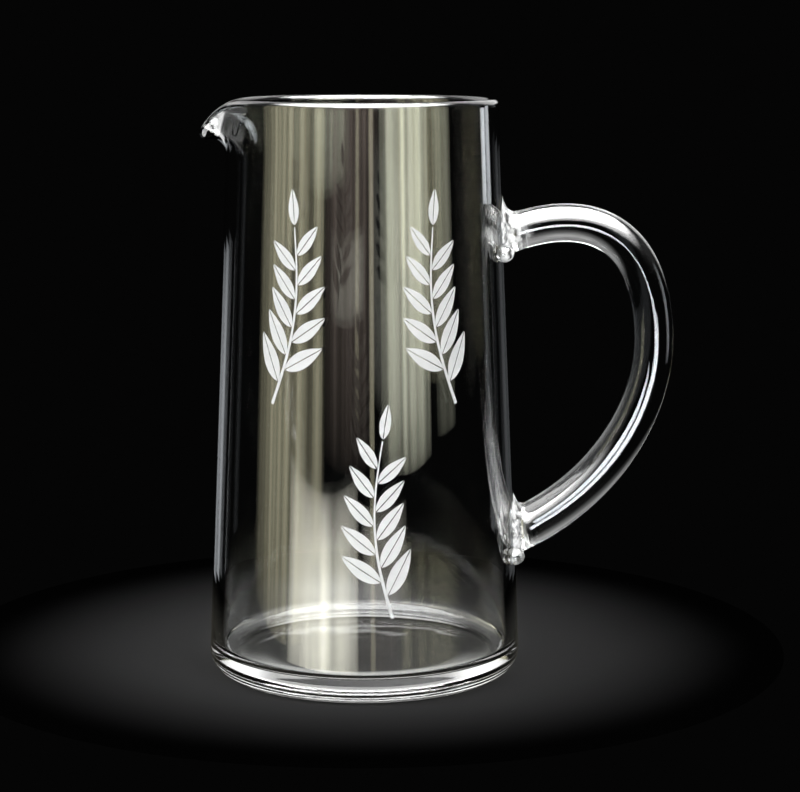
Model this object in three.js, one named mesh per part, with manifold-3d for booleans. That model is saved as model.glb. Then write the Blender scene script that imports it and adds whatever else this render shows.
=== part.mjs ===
// Clear glass pitcher: a blown vessel with a pulled pouring lip and an applied rod handle.
// Millimetres, +Z up. The origin is on the vessel's axis, at the surface that it stands on.
// The handle lies towards +X and the lip towards -X.
import * as THREE from 'three';
import { mergeVertices } from 'three/addons/utils/BufferGeometryUtils.js';
import Module from 'manifold-3d';

const wasm = await Module();
wasm.setup();

// Vessel: a wall that narrows upwards from a round heel, over a thick flat floor
const HEIGHT = 222;
const RIM_RADIUS = 51.5;
const HEEL_RADIUS = 60.5;
const HEEL_HEIGHT = 9;
const FOOT_RADIUS = 51;
const RIM_WALL = 4.2;
const LOWER_WALL = 4.6;
const FLOOR_THICKNESS = 9.5;
const FLOOR_FILLET = 4.5;

// Pouring lip: the rim pulled outwards and down over a narrow arc
const LIP_DEPTH = 24;
const LIP_REACH = 10.8;
const LIP_DROP = 10.7;
const LIP_SPREAD = THREE.MathUtils.degToRad(9);
const LIP_DROP_SHARPNESS = 1.8;

// Handle: one bent rod, thicker at its lower end; its reach is from the vessel's axis
const HANDLE_REACH = 112;
const UPPER_WELD_BELOW_RIM = 52.4;
const WAIST_BELOW_UPPER_WELD = 41;
const LOWER_WELD_HEIGHT = 54;
const UPPER_ROD_RADIUS = 7.3;
const LOWER_ROD_RADIUS = 8.6;
const ROD_SWELL_POWER = 2.5;
const UPPER_RISE_ANGLE = THREE.MathUtils.degToRad(22);
const LOWER_RISE_ANGLE = THREE.MathUtils.degToRad(24.6);

// Fullness of the handle's two bends: each pull is a share of the span that it bridges
const SHOULDER_FULLNESS = 0.616;
const UPPER_WAIST_FULLNESS = 1.025;
const LOWER_WAIST_FULLNESS = 0.329;
const TAIL_FULLNESS = 0.77;

// Weld pads: the flared ends where the handle's glass was pressed on to the wall
const UPPER_PAD_LENGTH = 12;
const UPPER_PAD_HALF_HEIGHT = 12.6;
const UPPER_PAD_HALF_WIDTH = 11.5;
const UPPER_PAD_RISE = 4.2;
const LOWER_PAD_LENGTH = 13;
const LOWER_PAD_HALF_HEIGHT = 13.4;
const LOWER_PAD_HALF_WIDTH = 12.5;
const LOWER_PAD_RISE = 3.6;
const PAD_FLARE_POWER = 2.4;
const WELD_GAP = 0.3;

// Looks of the clear glass
const VESSEL_TINT = 0xe6eceb;
const HANDLE_TINT = 0xeceff0;
const GLASS_ROUGHNESS = 0.04;
const GLASS_OPACITY = 0.4;

// Fineness of the facets
const VESSEL_SIDES = 72;
const ARC_STEPS = 3;
const LIP_STEPS = 7;
const ROD_SIDES = 20;
const ROD_STEPS = 34;
const PAD_SIDES = 28;
const PAD_STEPS = 7;
const MERGE_DISTANCE = 1e-4;

const RIM_CENTRE_HEIGHT = HEIGHT - RIM_WALL / 2;
const LIP_START = HEIGHT - LIP_DEPTH;
const UPPER_WELD_HEIGHT = HEIGHT - UPPER_WELD_BELOW_RIM;
const WAIST_HEIGHT = UPPER_WELD_HEIGHT - WAIST_BELOW_UPPER_WELD;
const WALL_HEIGHT = RIM_CENTRE_HEIGHT - HEEL_HEIGHT;
const WALL_LEAN = (RIM_RADIUS - HEEL_RADIUS) / WALL_HEIGHT;
const MIDDLE_LEAN = WALL_LEAN + (LOWER_WALL - RIM_WALL) / 2 / WALL_HEIGHT;

const { lerp } = THREE.MathUtils;

// Share of the way up the wall, from the heel to the rim
const wallShare = (z) => (z - HEEL_HEIGHT) / WALL_HEIGHT;
const outerRadius = (z) => lerp(HEEL_RADIUS, RIM_RADIUS, wallShare(z));
const wallThickness = (z) => lerp(LOWER_WALL, RIM_WALL, wallShare(z));
const innerRadius = (z) => outerRadius(z) - wallThickness(z);
const middleRadius = (z) => outerRadius(z) - wallThickness(z) / 2;

// Closed outline of the vessel's wall and floor, from the axis under the foot to the axis on the floor
function vesselOutline() {
  const rimCentre = RIM_RADIUS - RIM_WALL / 2;
  const filletTop = FLOOR_THICKNESS + FLOOR_FILLET;
  const filletCentre = innerRadius(filletTop) - FLOOR_FILLET;
  const lipHeights = Array.from({ length: LIP_STEPS }, (_, step) =>
    lerp(LIP_START, RIM_CENTRE_HEIGHT, step / LIP_STEPS));
  const outline = new THREE.Path();
  outline.moveTo(0, 0);
  outline.lineTo(FOOT_RADIUS, 0);
  outline.absellipse(FOOT_RADIUS, HEEL_HEIGHT, HEEL_RADIUS - FOOT_RADIUS, HEEL_HEIGHT, -Math.PI / 2, 0);
  lipHeights.forEach((z) => outline.lineTo(outerRadius(z), z));
  outline.lineTo(RIM_RADIUS, RIM_CENTRE_HEIGHT);
  outline.absarc(rimCentre, RIM_CENTRE_HEIGHT, RIM_WALL / 2, 0, Math.PI);
  lipHeights.reverse().forEach((z) => outline.lineTo(innerRadius(z), z));
  outline.lineTo(innerRadius(filletTop), filletTop);
  outline.absellipse(filletCentre, filletTop, FLOOR_FILLET, FLOOR_FILLET, 0, -Math.PI / 2, true);
  outline.lineTo(0, FLOOR_THICKNESS);
  return outline.getPoints(ARC_STEPS);
}

// Pull the rim out and down round the -X side. Both grow with the square of the height above the
// lip's start, and the wall turns with them so that it keeps its thickness.
function pullLip(geometry) {
  const points = geometry.getAttribute('position');
  const point = new THREE.Vector3();
  const lipLength = RIM_CENTRE_HEIGHT - LIP_START;
  for (let index = 0; index < points.count; index += 1) {
    point.fromBufferAttribute(points, index);
    if (point.z > LIP_START) {
      const away = Math.atan2(point.y, -point.x);
      const station = Math.min(point.z, RIM_CENTRE_HEIGHT);
      const beyond = point.z - station;
      const across = Math.hypot(point.x, point.y) - middleRadius(station);
      const rise = (station - LIP_START) / lipLength;
      const reach = LIP_REACH / Math.cosh(away / LIP_SPREAD);
      const drop = LIP_DROP / Math.cosh(away / LIP_SPREAD) ** LIP_DROP_SHARPNESS;
      const outwards = MIDDLE_LEAN + 2 * reach * rise / lipLength;
      const upwards = 1 - 2 * drop * rise / lipLength;
      const turn = Math.atan2(outwards, upwards) - Math.atan(MIDDLE_LEAN);
      const radius = middleRadius(station) + reach * rise ** 2
        + across * Math.cos(turn) + beyond * Math.sin(turn);
      const height = station - drop * rise ** 2 - across * Math.sin(turn) + beyond * Math.cos(turn);
      points.setXYZ(index, -radius * Math.cos(away), radius * Math.sin(away), height);
    }
  }
  return geometry;
}

// Keep only the positions, with shared vertices merged
function positionsOnly(geometry) {
  geometry.deleteAttribute('normal');
  geometry.deleteAttribute('uv');
  return mergeVertices(geometry, MERGE_DISTANCE);
}

function toSolid(geometry) {
  const merged = positionsOnly(geometry);
  return new wasm.Manifold(new wasm.Mesh({
    numProp: 3,
    vertProperties: new Float32Array(merged.getAttribute('position').array),
    triVerts: new Uint32Array(merged.getIndex().array),
  }));
}

function toGeometry(solid) {
  const mesh = solid.getMesh();
  const geometry = new THREE.BufferGeometry();
  geometry.setAttribute('position', new THREE.BufferAttribute(mesh.vertProperties, mesh.numProp));
  geometry.setIndex(new THREE.BufferAttribute(mesh.triVerts, 1));
  geometry.computeVertexNormals();
  return geometry;
}

// A solid of revolution about +Z from an outline in radius and height
function turned(outline) {
  return new THREE.LatheGeometry(outline, VESSEL_SIDES).rotateX(Math.PI / 2);
}

// A closed skin over a row of rings with equal numbers of points, with a flat cap at each end
function loft(rings) {
  const sides = rings[0].length;
  const points = rings.flat();
  const faces = [];
  for (let ring = 0; ring + 1 < rings.length; ring += 1) {
    for (let side = 0; side < sides; side += 1) {
      const here = ring * sides + side;
      const next = ring * sides + (side + 1) % sides;
      faces.push(here, next + sides, next, here, here + sides, next + sides);
    }
  }
  const last = (rings.length - 1) * sides;
  for (let side = 1; side + 1 < sides; side += 1) {
    faces.push(0, side, side + 1, last, last + side + 1, last + side);
  }
  const geometry = new THREE.BufferGeometry().setFromPoints(points);
  geometry.setIndex(faces);
  return geometry;
}

// An oval ring about centre: its height lies along up, its width along Y
function ring(centre, up, halfHeight, halfWidth, sides) {
  return Array.from({ length: sides }, (_, side) => {
    const angle = 2 * Math.PI * side / sides;
    return centre.clone()
      .addScaledVector(up, halfHeight * Math.cos(angle))
      .add(new THREE.Vector3(0, halfWidth * Math.sin(angle), 0));
  });
}

// Centre line of the handle's glass, from the upper weld round the waist to the lower weld
function handleLine() {
  const onWall = (z) => new THREE.Vector3(outerRadius(z), 0, z);
  const along = (angle, length) =>
    new THREE.Vector3(length * Math.cos(angle), 0, length * Math.sin(angle));
  const upper = onWall(UPPER_WELD_HEIGHT);
  const lower = onWall(LOWER_WELD_HEIGHT);
  const waist = new THREE.Vector3(HANDLE_REACH, 0, WAIST_HEIGHT);
  const shoulderPull = along(UPPER_RISE_ANGLE, SHOULDER_FULLNESS * (waist.x - upper.x));
  const upperWaistPull = along(Math.PI / 2, UPPER_WAIST_FULLNESS * (upper.z - waist.z));
  const lowerWaistPull = along(-Math.PI / 2, LOWER_WAIST_FULLNESS * (waist.z - lower.z));
  const tailPull = along(LOWER_RISE_ANGLE, TAIL_FULLNESS * (waist.x - lower.x));
  const line = new THREE.CurvePath();
  line.add(new THREE.CubicBezierCurve3(
    upper, upper.clone().add(shoulderPull), waist.clone().add(upperWaistPull), waist));
  line.add(new THREE.CubicBezierCurve3(
    waist, waist.clone().add(lowerWaistPull), lower.clone().add(tailPull), lower));
  return line;
}

const line = handleLine();
const lineLength = line.getLength();

// Square to the handle's line, in the plane of the handle, away from the finger opening
function outwardOf(tangent) {
  return new THREE.Vector3(-tangent.z, 0, tangent.x);
}

function rodRadius(share) {
  return lerp(UPPER_ROD_RADIUS, LOWER_ROD_RADIUS, share ** ROD_SWELL_POWER);
}

function handleRod() {
  const start = (UPPER_PAD_LENGTH + WELD_GAP) / lineLength;
  const end = 1 - (LOWER_PAD_LENGTH + WELD_GAP) / lineLength;
  const rings = Array.from({ length: ROD_STEPS + 1 }, (_, step) => {
    const share = lerp(start, end, step / ROD_STEPS);
    const radius = rodRadius(share);
    return ring(line.getPoint(share), outwardOf(line.getTangent(share)), radius, radius, ROD_SIDES);
  });
  return loft(rings);
}

// The wall's outside, wider by the weld's gap, that trims the back of each pad
const wallTrimmer = toSolid(turned([
  new THREE.Vector2(0, HEEL_HEIGHT),
  new THREE.Vector2(HEEL_RADIUS + WELD_GAP, HEEL_HEIGHT),
  new THREE.Vector2(RIM_RADIUS + WELD_GAP, RIM_CENTRE_HEIGHT),
  new THREE.Vector2(0, RIM_CENTRE_HEIGHT),
]));

const upperPad = {
  length: UPPER_PAD_LENGTH,
  halfHeight: UPPER_PAD_HALF_HEIGHT,
  halfWidth: UPPER_PAD_HALF_WIDTH,
  rise: UPPER_PAD_RISE,
  weldHeight: UPPER_WELD_HEIGHT,
  shareAt: (distance) => distance / lineLength,
  upSign: 1,
};

const lowerPad = {
  length: LOWER_PAD_LENGTH,
  halfHeight: LOWER_PAD_HALF_HEIGHT,
  halfWidth: LOWER_PAD_HALF_WIDTH,
  rise: LOWER_PAD_RISE,
  weldHeight: LOWER_WELD_HEIGHT,
  shareAt: (distance) => 1 - distance / lineLength,
  upSign: -1,
};

// A pad widens from the rod's end to an oval that reaches into the wall, and is trimmed to the wall.
// shareAt turns a distance from the weld into a share of the handle's line, and upSign says whether
// the line's outward side is the upper or the lower side there.
function weldPad(pad) {
  const rodEnd = pad.shareAt(pad.length);
  const endUp = outwardOf(line.getTangent(rodEnd));
  const endRadius = rodRadius(rodEnd);
  const wallUp = new THREE.Vector3(WALL_LEAN, 0, 1).normalize();
  const wallIn = new THREE.Vector3(-wallUp.z, 0, wallUp.x);
  const rings = Array.from({ length: PAD_STEPS + 1 }, (_, step) => {
    const share = step / PAD_STEPS;
    const flare = share ** PAD_FLARE_POWER;
    const up = endUp.clone().lerp(wallUp.clone().multiplyScalar(pad.upSign), share).normalize();
    const centre = line.getPoint(pad.shareAt(pad.length * (1 - share)))
      .addScaledVector(wallUp, pad.rise * flare)
      .addScaledVector(wallIn, wallThickness(pad.weldHeight) * flare);
    const halfHeight = lerp(endRadius, pad.halfHeight, flare);
    const halfWidth = lerp(endRadius, pad.halfWidth, flare);
    return ring(centre, up, halfHeight, halfWidth, PAD_SIDES);
  });
  if (pad.upSign > 0) {
    rings.reverse();
  }
  return toGeometry(toSolid(loft(rings)).subtract(wallTrimmer));
}

function piece(name, geometry, tint) {
  const mesh = new THREE.Mesh(geometry, new THREE.MeshStandardMaterial({
    color: tint,
    roughness: GLASS_ROUGHNESS,
    metalness: 0,
    transparent: true,
    opacity: GLASS_OPACITY,
  }));
  mesh.name = name;
  return mesh;
}

const pitcher = new THREE.Group();
pitcher.add(piece('vessel_body', pullLip(turned(vesselOutline())), VESSEL_TINT));
pitcher.add(piece('handle_rod', handleRod(), HANDLE_TINT));
pitcher.add(piece('upper_handle_pad', weldPad(upperPad), HANDLE_TINT));
pitcher.add(piece('lower_handle_pad', weldPad(lowerPad), HANDLE_TINT));

export default pitcher;
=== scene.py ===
"""Clear glass pitcher with a pulled lip, an applied rod handle and frosted leaf sprigs."""
import logging
import math
from dataclasses import dataclass, field
from enum import Enum
from typing import Any

import bmesh
import bpy
from mathutils import Euler, Matrix, Vector
from mathutils.geometry import interpolate_bezier


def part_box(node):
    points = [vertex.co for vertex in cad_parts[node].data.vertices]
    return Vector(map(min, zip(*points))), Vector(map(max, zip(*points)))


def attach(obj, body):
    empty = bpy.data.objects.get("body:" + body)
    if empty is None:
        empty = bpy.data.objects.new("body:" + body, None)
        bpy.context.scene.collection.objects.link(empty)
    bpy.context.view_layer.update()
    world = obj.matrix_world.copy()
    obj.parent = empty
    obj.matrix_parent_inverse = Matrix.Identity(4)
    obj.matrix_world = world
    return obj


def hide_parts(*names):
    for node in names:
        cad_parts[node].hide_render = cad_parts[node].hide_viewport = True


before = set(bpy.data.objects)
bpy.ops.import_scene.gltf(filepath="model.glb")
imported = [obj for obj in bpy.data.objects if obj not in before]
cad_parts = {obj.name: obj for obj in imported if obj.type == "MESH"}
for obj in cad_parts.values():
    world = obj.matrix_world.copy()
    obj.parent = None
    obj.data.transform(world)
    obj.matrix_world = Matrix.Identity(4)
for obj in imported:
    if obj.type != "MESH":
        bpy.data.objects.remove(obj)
log = logging.getLogger("pitcher")

MM = 0.001
ROOT = "root"
DOUBLES = 0.002 * MM
MIX_FIRST, MIX_SECOND, MIX_RESULT = 6, 7, 2  # Colour sockets of a Mix node
ONE_PASS = 2.5  # Above it, a ray has been through more than one wall
Pair = tuple[float, float]
Triple = tuple[float, float, float]
Colour = Triple


class Slot(Enum):
    """Material slots of the record, one for each kind of glass."""

    VESSEL = "vessel_glass"
    HANDLE = "handle_glass"
    FROST = "frosted_glass"


class Value:
    """A socket that carries a number, with Python's operators as Math nodes."""

    def __init__(self, paint: "Paint", socket: bpy.types.NodeSocket) -> None:
        """Keep the builder that adds nodes and the output socket that gives the number."""
        self.paint = paint
        self.socket = socket

    def _math(self, operation: str, first: "Value | float", second: "Value | float") -> "Value":
        """The result of one Math node."""
        node = self.paint.node("ShaderNodeMath", {"operation": operation}, {0: first, 1: second})
        return Value(self.paint, node.outputs[0])

    def __add__(self, other: "Value | float") -> "Value":
        """Add."""
        return self._math("ADD", self, other)

    __radd__ = __add__

    def __sub__(self, other: "Value | float") -> "Value":
        """Subtract."""
        return self._math("SUBTRACT", self, other)

    def __rsub__(self, other: float) -> "Value":
        """Subtract this from a number."""
        return self._math("SUBTRACT", other, self)

    def __mul__(self, other: "Value | float") -> "Value":
        """Multiply."""
        return self._math("MULTIPLY", self, other)

    __rmul__ = __mul__

    def __pow__(self, other: float) -> "Value":
        """Raise to a power."""
        return self._math("POWER", self, other)

    def most(self, other: "Value | float") -> "Value":
        """The larger of the two."""
        return self._math("MAXIMUM", self, other)

    def least(self, other: "Value | float") -> "Value":
        """The smaller of the two."""
        return self._math("MINIMUM", self, other)

    def below(self, other: float) -> "Value":
        """1 where this is below the other, and else 0."""
        return self._math("LESS_THAN", self, other)


class Paint:
    """Builds one node tree, for a material, a lamp or the world."""

    def __init__(self, tree: bpy.types.NodeTree) -> None:
        """Start from an empty tree."""
        self.tree = tree
        tree.nodes.clear()

    def node(
        self,
        kind: str,
        settings: dict[str, Any] | None = None,
        sockets: dict[str | int, Any] | None = None,
    ) -> bpy.types.Node:
        """Add a node.

        Args:
            kind: The node's type.
            settings: Properties that are set first.
            sockets: Values or links for the inputs, by name or number.

        Returns:
            The new node.
        """
        made = self.tree.nodes.new(kind)
        for name, value in (settings or {}).items():
            setattr(made, name, value)
        for name, value in (sockets or {}).items():
            source = value.socket if isinstance(value, Value) else value
            if isinstance(source, bpy.types.NodeSocket):
                self.tree.links.new(source, made.inputs[name])
            else:
                made.inputs[name].default_value = source
        return made

    def value(self, kind: str, output: str | int, **parts: Any) -> Value:
        """Add a node with its settings and sockets, and wrap one of its outputs."""
        return Value(self, self.node(kind, **parts).outputs[output])

    def place(self, scale: Triple) -> bpy.types.NodeSocket:
        """Object coordinates, stretched by the pattern units in a metre along each axis."""
        here = self.node("ShaderNodeTexCoord").outputs["Object"]
        return self.node("ShaderNodeMapping", None, {"Vector": here, "Scale": scale}).outputs["Vector"]

    def noise(self, scale: Triple, detail: float, seed: float = 0.0) -> Value:
        """Four-dimensional noise on Object coordinates.

        Args:
            scale: Pattern units in a metre, along each axis.
            detail: Number of octaves.
            seed: Fourth coordinate, which picks another pattern.

        Returns:
            The noise, about 0.5 on average.
        """
        return self.value(
            "ShaderNodeTexNoise", "Fac",
            settings={"noise_dimensions": "4D"},
            sockets={"Vector": self.place(scale), "W": seed, "Scale": 1.0, "Detail": detail},
        )

    def noise_of(self, vector: bpy.types.NodeSocket, scale: float, detail: float) -> Value:
        """Three-dimensional noise on a given vector."""
        return self.value("ShaderNodeTexNoise", "Fac",
                          sockets={"Vector": vector, "Scale": scale, "Detail": detail})

    def part(self, vector: bpy.types.NodeSocket, axis: int) -> Value:
        """One coordinate of a vector, by its number."""
        return self.value("ShaderNodeSeparateXYZ", axis, sockets={0: vector})

    def mix(
        self, share: Value, first: Colour | bpy.types.NodeSocket, second: Colour,
    ) -> bpy.types.NodeSocket:
        """Blend two colours.

        Args:
            share: How much of the second colour.
            first: The colour at 0, or a socket that gives it.
            second: The colour at 1.

        Returns:
            The colour socket.
        """
        start = first if isinstance(first, bpy.types.NodeSocket) else (*first, 1.0)
        made = self.node("ShaderNodeMix", {"data_type": "RGBA"},
                         {"Factor": share, MIX_FIRST: start, MIX_SECOND: (*second, 1.0)})
        return made.outputs[MIX_RESULT]

    def distance(self, vector: bpy.types.NodeSocket, point: Triple) -> Value:
        """How far a vector lies from a point."""
        return self.value("ShaderNodeVectorMath", "Value", settings={"operation": "DISTANCE"},
                          sockets={0: vector, 1: point})

    def fade(self, value: Value, low: float, high: float) -> Value:
        """A smooth step, from 0 at the low end to 1 at the high one."""
        return self.value("ShaderNodeMapRange", "Result", settings={"interpolation_type": "SMOOTHSTEP"},
                          sockets={"Value": value, "From Min": low, "From Max": high})

    def bump(self, height: Value, strength: float, depth: float) -> bpy.types.NodeSocket:
        """The normal of a Bump node, with its distance in metres as the depth."""
        sockets = {"Height": height, "Strength": strength, "Distance": depth}
        return self.node("ShaderNodeBump", None, sockets).outputs["Normal"]

    def surface(
        self, sockets: dict[str, Any], over: dict[str, Any] | None = None, share: Value | None = None,
    ) -> None:
        """End the tree in a Principled BSDF, with a share of a second one over it if that is given.

        Args:
            sockets: Values or links for the shader's inputs.
            over: The same for the second shader.
            share: How much of the second shader shows.
        """
        shader = self.node("ShaderNodeBsdfPrincipled", None, sockets).outputs[0]
        if over is not None:
            second = self.node("ShaderNodeBsdfPrincipled", None, over).outputs[0]
            shader = self.node("ShaderNodeMixShader", None, {0: share, 1: shader, 2: second}).outputs[0]
        self.node("ShaderNodeOutputMaterial", None, {"Surface": shader})


def new_paint(name: str) -> tuple[bpy.types.Material, Paint]:
    """Make an empty node material.

    Args:
        name: The material's name.

    Returns:
        The material and the builder of its tree.
    """
    material = bpy.data.materials.new(name)
    material.use_nodes = True
    return material, Paint(material.node_tree)


@dataclass(frozen=True)
class ClearGlass:
    """Clear blown glass with faint streaks along the way that it was drawn.

    Within the weld radius from the vessel's axis, if it has one, the glass is bumpy and milky with bubbles.
    """

    name: str
    tint: Colour
    deep_tint: Colour
    streaks: Triple
    streak_depth: float
    bump: float = 0.35
    clouds: Triple = (18.0, 18.0, 11.0)
    smears: Triple = (55.0, 55.0, 34.0)
    smear_start: float = 0.45
    smear_roughness: float = 0.06
    weld_radius: float = 0.0
    weld_fade: float = 8 * MM
    weld_depth: float = 0.9 * MM
    weld_bumps: Triple = (260.0, 260.0, 200.0)
    bubbles: Triple = (420.0, 420.0, 300.0)
    bubble_start: float = 0.4
    bubble_gain: float = 5.0
    milk: float = 0.8
    milk_tint: Colour = (0.92, 0.93, 0.93)
    milk_roughness: float = 0.6
    ior: float = 1.5

    def material(self) -> bpy.types.Material:
        """Build the finish.

        Returns:
            The material.
        """
        material, paint = new_paint(self.name)
        cloud = paint.noise(self.clouds, detail=2.0, seed=3.0)
        smear = paint.noise(self.smears, detail=3.0, seed=7.0)
        height = paint.noise(self.streaks, detail=2.0) * self.streak_depth
        skin, share = None, None
        if self.weld_radius:
            reach = paint.distance(paint.place((1.0, 1.0, 0.0)), (0.0, 0.0, 0.0))
            weld = 1.0 - paint.fade(reach, self.weld_radius, self.weld_radius + self.weld_fade)
            bumps = paint.noise(self.weld_bumps, detail=1.0, seed=5.0)
            height = height + bumps * weld * self.weld_depth
            bubbles = paint.noise(self.bubbles, detail=2.0, seed=9.0)
            share = ((bubbles - self.bubble_start) * self.bubble_gain).most(0.0).least(1.0)
            share = share * weld * self.milk
            skin = {"Base Color": (*self.milk_tint, 1.0), "Roughness": self.milk_roughness}
        paint.surface({
            "Base Color": paint.mix(cloud, self.tint, self.deep_tint),
            "Roughness": (smear - self.smear_start).most(0.0) * self.smear_roughness,
            "IOR": self.ior,
            "Transmission Weight": 1.0,
            "Normal": paint.bump(height, self.bump, depth=1.0),
        }, skin, share)
        return material


@dataclass(frozen=True)
class FrostedGlass:
    """White frosted etch: a rough, faintly mottled skin that lets a little light through."""

    name: str = "white_frosted_etch"
    pale: Colour = (0.93, 0.94, 0.94)
    thin: Colour = (0.74, 0.77, 0.78)
    mottle: Triple = (260.0, 260.0, 260.0)
    thin_start: float = 0.35
    thin_gain: float = 1.1
    grain: Triple = (2400.0, 2400.0, 2400.0)
    grain_depth: float = 0.05 * MM
    bump: float = 0.5
    least_roughness: float = 0.5
    roughness_range: float = 0.3
    ior: float = 1.45

    def material(self) -> bpy.types.Material:
        """Build the finish.

        Returns:
            The material.
        """
        material, paint = new_paint(self.name)
        mottle = paint.noise(self.mottle, detail=3.0)
        worn = (mottle - self.thin_start).most(0.0) * self.thin_gain
        grain = paint.noise(self.grain, detail=2.0, seed=2.0)
        paint.surface({
            "Base Color": paint.mix(worn, self.pale, self.thin),
            "Roughness": grain * self.roughness_range + self.least_roughness,
            "IOR": self.ior,
            "Normal": paint.bump(grain, self.bump, self.grain_depth),
        })
        return material


@dataclass(frozen=True)
class FloorPaint:
    """A pale floor that falls away to the dark of the backdrop.

    Under the foot it is paler, a painted pool of light, and most of all under its front, where a pale,
    glowing painted caustic ring stands in for light that the glass would gather there.
    """

    set_back: float
    name: str = "pale_floor"
    pale: Colour = (0.14, 0.14, 0.142)
    dark: Colour = (0.002, 0.002, 0.002)
    pale_radius: float = 0.055
    dark_radius: float = 0.16
    # Painted light: a paler floor under the foot, for light that comes through the glass
    painted_light_under_foot: Colour = (0.34, 0.34, 0.342)
    painted_light_under_foot_edge: Pair = (0.048, 0.051)
    # Painted caustic: a pale ring under the front of the foot, with its inner and front edges
    glow: Colour = (0.9, 0.9, 0.89)
    painted_caustic_inner: Pair = (0.035, 0.042)
    painted_caustic_front: Pair = (0.0, 0.03)
    # Emission strength of the painted caustic: the floor glows there, though it is no lamp
    painted_caustic: float = 0.5
    grain: Triple = (40.0, 40.0, 40.0)
    least_roughness: float = 0.7
    roughness_range: float = 0.15

    def material(self) -> bpy.types.Material:
        """Build the finish.

        Returns:
            The material.
        """
        material, paint = new_paint(self.name)
        spot = paint.place((1.0, 1.0, 1.0))
        away = paint.distance(spot, (0.0, self.set_back, 0.0))
        share = paint.fade(away, self.pale_radius, self.dark_radius)
        radius = paint.distance(spot, (0.0, 0.0, 0.0))
        front = 0.0 - paint.part(spot, 1)
        # Painted light under the foot, and a painted caustic ring under its front
        painted_light_under_foot = 1.0 - paint.fade(radius, *self.painted_light_under_foot_edge)
        painted_caustic = paint.fade(radius, *self.painted_caustic_inner) * painted_light_under_foot * paint.fade(front, *self.painted_caustic_front)
        around = paint.mix(painted_light_under_foot, paint.mix(share, self.pale, self.dark), self.painted_light_under_foot)
        grain = paint.noise(self.grain, detail=3.0)
        paint.surface({
            "Base Color": paint.mix(painted_caustic, around, self.glow),
            "Roughness": grain * self.roughness_range + self.least_roughness,
            "Specular IOR Level": 0.0,
            # The painted caustic also glows through emission, though the floor is no lamp
            "Emission Color": paint.mix(painted_caustic, (0.0, 0.0, 0.0), self.glow),
            "Emission Strength": self.painted_caustic,
        })
        return material


class Bench:
    """Steps of modelling by hand that the pieces share."""

    @staticmethod
    def clear() -> None:
        """Leave edit mode and deselect everything."""
        if bpy.context.mode != "OBJECT":
            bpy.ops.object.mode_set(mode="OBJECT")
        bpy.ops.object.select_all(action="DESELECT")

    @staticmethod
    def pick(*pieces: bpy.types.Object) -> None:
        """Select pieces and make the first one active.

        Args:
            *pieces: The objects to select.
        """
        Bench.clear()
        for piece in pieces:
            piece.select_set(True)
        bpy.context.view_layer.objects.active = pieces[0]

    @staticmethod
    def turned(name: str, outline: list[Pair], sides: int) -> bpy.types.Object:
        """Extrude one vertex along an outline and spin it about the vertical axis.

        Args:
            name: The object's name.
            outline: Radius and height of each point; it starts and ends on the axis.
            sides: Number of steps in the turn.

        Returns:
            The closed object.
        """
        Bench.clear()
        bpy.ops.mesh.primitive_plane_add(size=MM)
        piece = bpy.context.object
        piece.name = piece.data.name = name
        bpy.ops.object.mode_set(mode="EDIT")
        bpy.ops.mesh.select_all(action="SELECT")
        bpy.ops.mesh.merge(type="CENTER")
        radius, height = outline[0]
        bpy.ops.transform.translate(value=(radius, 0.0, height))
        for next_radius, next_height in outline[1:]:
            step = (next_radius - radius, 0.0, next_height - height)
            bpy.ops.mesh.extrude_region_move(TRANSFORM_OT_translate={"value": step})
            radius, height = next_radius, next_height
        bpy.ops.mesh.select_all(action="SELECT")
        bpy.ops.mesh.spin(steps=sides, angle=math.tau, center=(0, 0, 0), axis=(0, 0, 1))
        Bench.close_up()
        return piece

    @staticmethod
    def close_up() -> None:
        """Merge doubles and turn the faces outwards, then leave edit mode."""
        bpy.ops.mesh.select_all(action="SELECT")
        bpy.ops.mesh.remove_doubles(threshold=DOUBLES)
        bpy.ops.mesh.normals_make_consistent(inside=False)
        bpy.ops.object.mode_set(mode="OBJECT")

    @staticmethod
    def modify(piece: bpy.types.Object, kind: str, **settings: Any) -> None:
        """Add a modifier and apply it.

        Args:
            piece: The object.
            kind: The modifier's type.
            **settings: The modifier's properties.
        """
        Bench.pick(piece)
        modifier = piece.modifiers.new(kind.lower(), kind)
        for name, value in settings.items():
            setattr(modifier, name, value)
        bpy.ops.object.modifier_apply(modifier=modifier.name)

    @staticmethod
    def smooth(piece: bpy.types.Object, angle: float) -> None:
        """Shade a piece smooth, up to edges of an angle in radians."""
        Bench.pick(piece)
        bpy.ops.object.shade_smooth_by_angle(angle=angle)

    @staticmethod
    def dress(piece: bpy.types.Object, material: bpy.types.Material, slot: Slot, *nodes: str) -> None:
        """Give a piece its finish and tie it to the part.

        Args:
            piece: The object.
            material: Its finish.
            slot: The record's material slot; not used.
            *nodes: The solids that it stands for.
        """
        piece.data.materials.clear()
        piece.data.materials.append(material)
        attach(piece, ROOT)
        if nodes:
            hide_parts(*nodes)
        log.info("%s: %d faces", piece.name, len(piece.data.polygons))


def arc(centre: Pair, radii: Pair, start: float, end: float, steps: int) -> list[Pair]:
    """Points on an upright ellipse between two angles in degrees, both ends included."""
    angles = [math.radians(start + (end - start) * step / steps) for step in range(steps + 1)]
    return [(centre[0] + radii[0] * math.cos(a), centre[1] + radii[1] * math.sin(a)) for a in angles]


def blend(first: float, second: float, share: float) -> float:
    """The value a share of the way from the first to the second."""
    return first + (second - first) * share


@dataclass
class Lip:
    """The pouring lip: the rim pulled outwards and down over a narrow arc."""

    depth: float = 24 * MM
    reach: float = 10.0 * MM
    drop: float = 10.7 * MM
    spread: float = math.radians(9.0)
    drop_sharpness: float = 1.8
    bead: float = 0.38
    bead_sharpness: float = 10.0


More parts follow.
